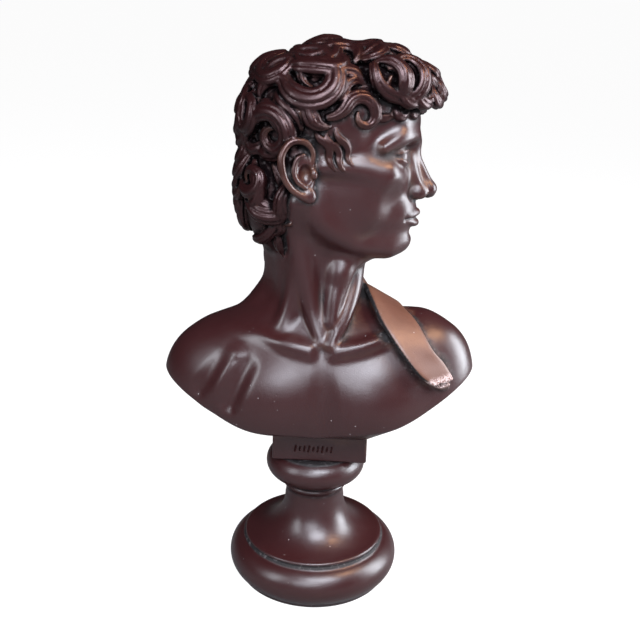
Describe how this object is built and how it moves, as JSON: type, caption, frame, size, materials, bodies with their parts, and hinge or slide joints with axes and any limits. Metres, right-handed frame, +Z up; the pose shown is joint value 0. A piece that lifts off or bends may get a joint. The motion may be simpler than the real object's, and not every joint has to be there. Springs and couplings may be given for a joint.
{
  "type": "classical bust",
  "caption": "Cast bust of a curly-haired youth looking to the left, with a strap over one shoulder and a name tablet, standing on a turned round socle.",
  "frame": {"origin": "centre of the socle's flat underside", "axes": "+Z up, -Y out of the chest, +X to the bust's own left, the way the face looks"},
  "size_m": [0.2117, 0.122, 0.3801],
  "materials": {
    "bust": "satin",
    "socle": "satin"
  },
  "bodies": {
    "root": {"bust": "bust", "socle": "socle"}
  },
  "joints": []
}
